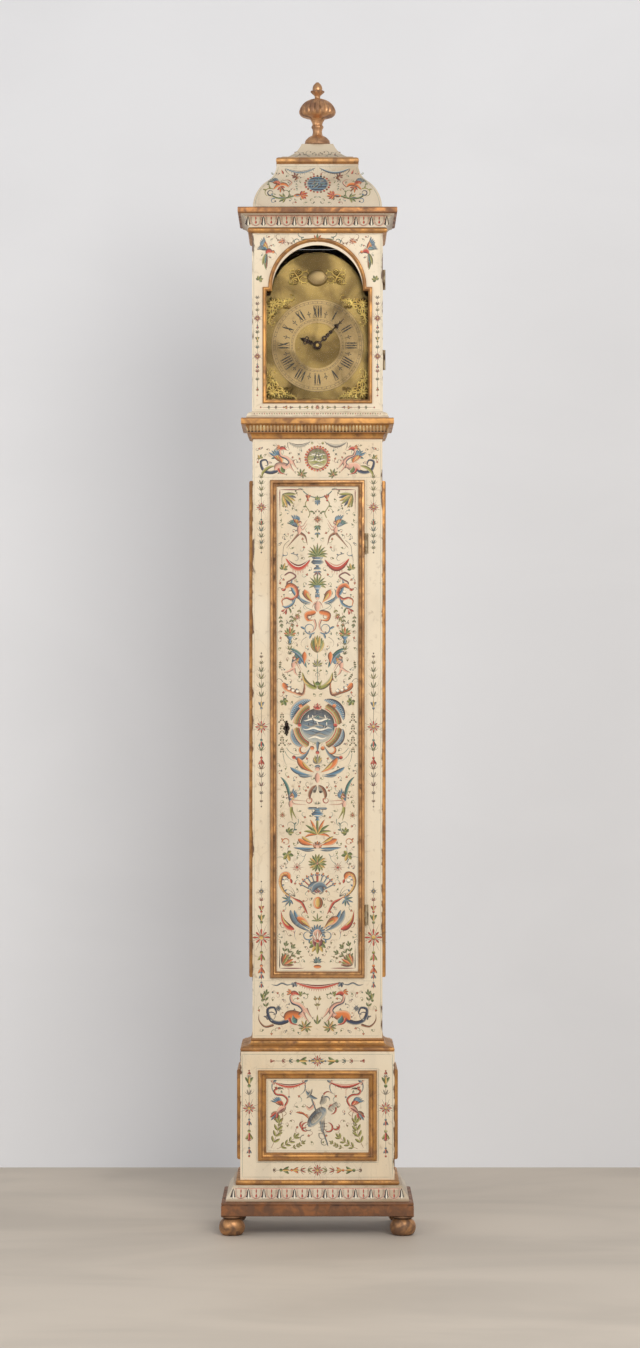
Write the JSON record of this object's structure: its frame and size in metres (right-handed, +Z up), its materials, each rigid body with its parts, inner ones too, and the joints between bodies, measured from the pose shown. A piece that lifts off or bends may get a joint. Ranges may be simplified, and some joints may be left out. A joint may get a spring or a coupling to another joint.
{
  "type": "longcase clock",
  "caption": "Tall painted longcase clock on bun feet: slide-off hood with glazed arched door, bell top and finial, trunk door, rope-driven movement with seconds pendulum.",
  "frame": {"origin": "on the floor, in the middle of the clock's width and depth, feet included", "axes": "+Z up, the dial faces -Y, +X to the viewer's right"},
  "size_m": [0.4409, 0.271, 2.6178],
  "materials": {
    "cream_paint": "aged cream paint with painted ornament",
    "gilding": "rubbed gilding over brown bole",
    "dark_wood": "dark stained",
    "bare_oak": "bare oak",
    "iron": "blackened",
    "glass": "clear",
    "brass": "aged brass",
    "dial_brass": "mottled engraved brass",
    "steel": "blued steel",
    "hemp": "laid rope"
  },
  "bodies": {
    "case": {"bun_feet": "dark_wood", "plinth_band": "gilding", "plinth_ogee": "cream_paint", "plinth_bead": "gilding", "base_box": "cream_paint", "base_panel_frames": "gilding", "waist_moulding": "gilding", "trunk_carcase": "cream_paint", "trunk_side_frames": "gilding", "backboard": "bare_oak", "trunk_cornice": "gilding", "seatboard": "bare_oak", "trunk_hinge_leaves": "iron", "front_plate": "brass", "back_plate": "brass", "plate_pillars": "brass", "back_cock": "brass", "dial_plate": "dial_brass", "chapter_ring": "dial_brass", "corner_spandrels": "brass", "arch_mounts": "brass", "dial_feet": "brass", "rope_over_sprockets": "hemp", "rope_drive_loop": "hemp", "rope_return_loop": "hemp"},
    "trunk_door": {"trunk_door": "cream_paint", "trunk_door_frame": "gilding", "trunk_door_knuckles": "iron", "trunk_lock": "iron", "escutcheon": "iron"},
    "hood": {"hood_carcase": "cream_paint", "hood_base_moulding": "cream_paint", "hood_cornice_gilt": "gilding", "hood_cornice_frieze": "cream_paint", "caddy_bell": "cream_paint", "caddy_rim": "gilding", "caddy_cap": "cream_paint", "finial": "gilding", "hood_hinge_leaves": "iron"},
    "hood_door": {"hood_door": "cream_paint", "hood_door_moulding": "gilding", "hood_glass": "glass", "hood_door_knuckles": "iron"},
    "great_wheel": {"great_wheel": "brass"},
    "winding_sprocket": {"winding_sprocket": "brass"},
    "second_wheel": {"second_wheel": "brass"},
    "escape_wheel": {"escape_wheel": "brass"},
    "anchor": {"anchor": "steel"},
    "minute_hand": {"cannon_wheel": "brass", "minute_hand": "steel"},
    "minute_wheel": {"minute_wheel": "brass"},
    "hour_hand": {"hour_wheel": "brass", "hour_hand": "steel"},
    "drive_wheel": {"drive_wheel": "brass"},
    "pendulum": {"pendulum_rod": "steel", "pendulum_bob": "brass", "rating_nut": "brass"},
    "weight": {"driving_weight": "brass"},
    "weight_pulley": {"weight_pulley": "brass"},
    "ring_weight": {"ring_weight": "steel"}
  },
  "joints": [
    {"name": "hood_slide", "type": "slide", "parent": "case", "child": "hood", "axis": [0, -1, 0], "range_m": [0, 0.22]},
    {"name": "hood_door_hinge", "type": "hinge", "parent": "hood", "child": "hood_door", "pos_m": [0.1507, -0.04835, 2], "axis": [0, 0, 1], "range_deg": [0, 110]},
    {"name": "trunk_door_hinge", "type": "hinge", "parent": "case", "child": "trunk_door", "pos_m": [0.11, -0.0662, 1.1], "axis": [0, 0, 1], "range_deg": [0, 110]},
    {"name": "pendulum_swing", "type": "hinge", "parent": "case", "child": "pendulum", "pos_m": [0, 0.093, 2.03795], "axis": [0, 1, 0], "range_deg": [-2.5, 2.5]},
    {"name": "anchor_rock", "type": "hinge", "parent": "case", "child": "anchor", "pos_m": [0, 0.066, 2.03795], "axis": [0, 1, 0], "range_deg": [-2.5, 2.5]},
    {"name": "second_wheel_turn", "type": "hinge", "parent": "case", "child": "second_wheel", "pos_m": [0.03008, 0.04, 1.9961], "axis": [0, 1, 0], "continuous": true},
    {"name": "great_wheel_turn", "type": "hinge", "parent": "case", "child": "great_wheel", "pos_m": [0, 0.04, 1.96025], "axis": [0, 1, 0], "continuous": true},
    {"name": "escape_wheel_turn", "type": "hinge", "parent": "case", "child": "escape_wheel", "pos_m": [0, 0.04, 2.00967], "axis": [0, 1, 0], "continuous": true},
    {"name": "winding_sprocket_turn", "type": "hinge", "parent": "case", "child": "winding_sprocket", "pos_m": [0, 0.04, 1.96025], "axis": [0, 1, 0], "continuous": true},
    {"name": "minute_hand_turn", "type": "hinge", "parent": "case", "child": "minute_hand", "pos_m": [0, 0.04, 2.003], "axis": [0, 1, 0], "continuous": true},
    {"name": "hour_hand_turn", "type": "hinge", "parent": "case", "child": "hour_hand", "pos_m": [0, 0.04, 2.003], "axis": [0, 1, 0], "continuous": true},
    {"name": "minute_wheel_turn", "type": "hinge", "parent": "case", "child": "minute_wheel", "pos_m": [0.03325, 0.04, 2.003], "axis": [0, 1, 0], "continuous": true},
    {"name": "drive_wheel_turn", "type": "hinge", "parent": "case", "child": "drive_wheel", "pos_m": [0, 0.04, 1.96025], "axis": [0, 1, 0], "continuous": true},
    {"name": "weight_drop", "type": "slide", "parent": "case", "child": "weight", "axis": [0, 0, -1], "range_m": [0, 1.1], "deforming": ["rope_drive_loop"]},
    {"name": "pulley_turn", "type": "hinge", "parent": "weight", "child": "weight_pulley", "pos_m": [-0.025, 0.04, 1.7], "axis": [1, 0, 0], "range_deg": [0, 3502]},
    {"name": "ring_rise", "type": "slide", "parent": "case", "child": "ring_weight", "axis": [0, 0, 1], "range_m": [0, 1.1], "deforming": ["rope_return_loop"]}
  ],
  "couplings": [
    {"joint": "anchor_rock", "follows": "pendulum_swing", "ratio": 1},
    {"joint": "great_wheel_turn", "follows": "second_wheel_turn", "ratio": -0.083333},
    {"joint": "escape_wheel_turn", "follows": "second_wheel_turn", "ratio": -10},
    {"joint": "hour_hand_turn", "follows": "minute_hand_turn", "ratio": 0.083333},
    {"joint": "minute_wheel_turn", "follows": "minute_hand_turn", "ratio": -0.75},
    {"joint": "drive_wheel_turn", "follows": "minute_hand_turn", "ratio": -0.5},
    {"joint": "pulley_turn", "follows": "weight_drop", "rad_per_m": 55.556},
    {"joint": "ring_rise", "follows": "weight_drop", "ratio": 1}
  ]
}
